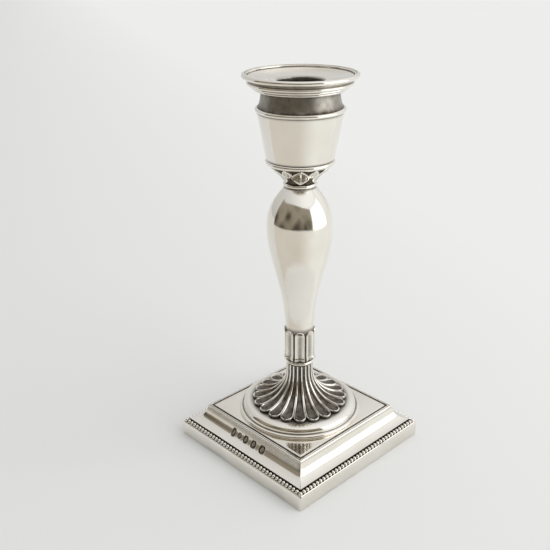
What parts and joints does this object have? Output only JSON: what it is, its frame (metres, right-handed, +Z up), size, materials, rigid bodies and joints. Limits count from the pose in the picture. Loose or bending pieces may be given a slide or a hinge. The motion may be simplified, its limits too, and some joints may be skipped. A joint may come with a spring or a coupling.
{
  "type": "candlestick",
  "caption": "Silver candlestick with a square beaded base, fluted foot, baluster stem, urn socket and lift-out nozzle.",
  "frame": {"origin": "centre of the resting face, on the axis of the stem", "axes": "+Z up the stem; the sides of the square base lie along X and Y"},
  "size_m": [0.084, 0.084, 0.1802],
  "materials": {
    "silver": "polished",
    "silver_inside": "satin",
    "iron": "matte",
    "filling": "matte",
    "board": "matte",
    "cloth": "matte"
  },
  "bodies": {
    "stand": {"felt_pad": "cloth", "base_board": "board", "base_skirt": "silver", "bead_border": "silver", "base_top": "silver", "base_filling": "filling", "foot_disc": "silver", "fluted_foot": "silver", "collar_ring": "silver", "fluted_sleeve": "silver", "stem_shell": "silver", "stem_filling": "filling", "stem_knop": "silver", "socket_calyx": "silver", "lower_rib": "silver", "socket_cup": "silver", "shoulder_rib": "silver", "socket_neck": "silver", "socket_lip": "silver", "socket_liner": "silver_inside", "rod_plate": "iron", "tie_rod": "iron", "rod_washer": "iron", "rod_nut": "iron"},
    "nozzle": {"nozzle_tube": "silver", "nozzle_dish": "silver", "nozzle_step_ring": "silver", "nozzle_rim_wire": "silver"}
  },
  "joints": [
    {"name": "nozzle_lift", "type": "slide", "parent": "stand", "child": "nozzle", "axis": [0, 0, 1], "range_m": [0, 0.03]}
  ]
}
